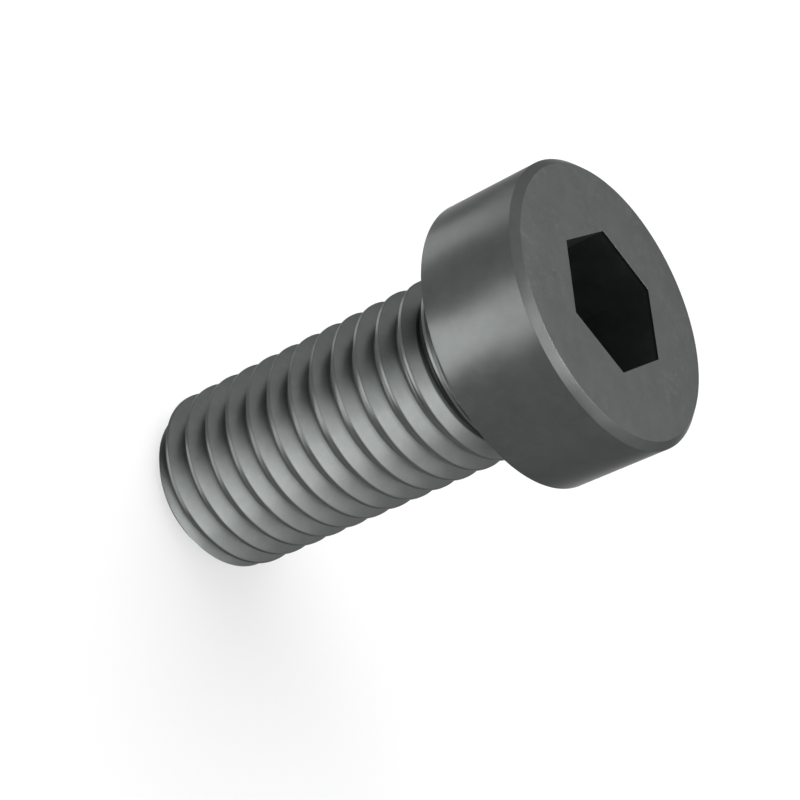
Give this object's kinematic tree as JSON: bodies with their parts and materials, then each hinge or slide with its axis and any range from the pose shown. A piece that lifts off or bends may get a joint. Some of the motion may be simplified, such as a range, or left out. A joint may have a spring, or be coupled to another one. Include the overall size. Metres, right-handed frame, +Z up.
{
  "type": "low head socket cap screw",
  "caption": "Short fully threaded screw with a low cylindrical head, chamfered on top, and a hexagon socket; black-oxide steel.",
  "frame": {"origin": "on the screw's axis, at the centre of the bearing face under the head", "axes": "+Z up the screw's axis towards the flat top of the head, so the thread runs down along -Z; +X through a corner of the hexagon socket, +Y square to a pair of its flats"},
  "size_m": [0.018, 0.018, 0.0321],
  "materials": {
    "black_oxide_steel": "black oxide, satin"
  },
  "bodies": {
    "root": {"cap_screw": "black_oxide_steel"}
  },
  "joints": []
}
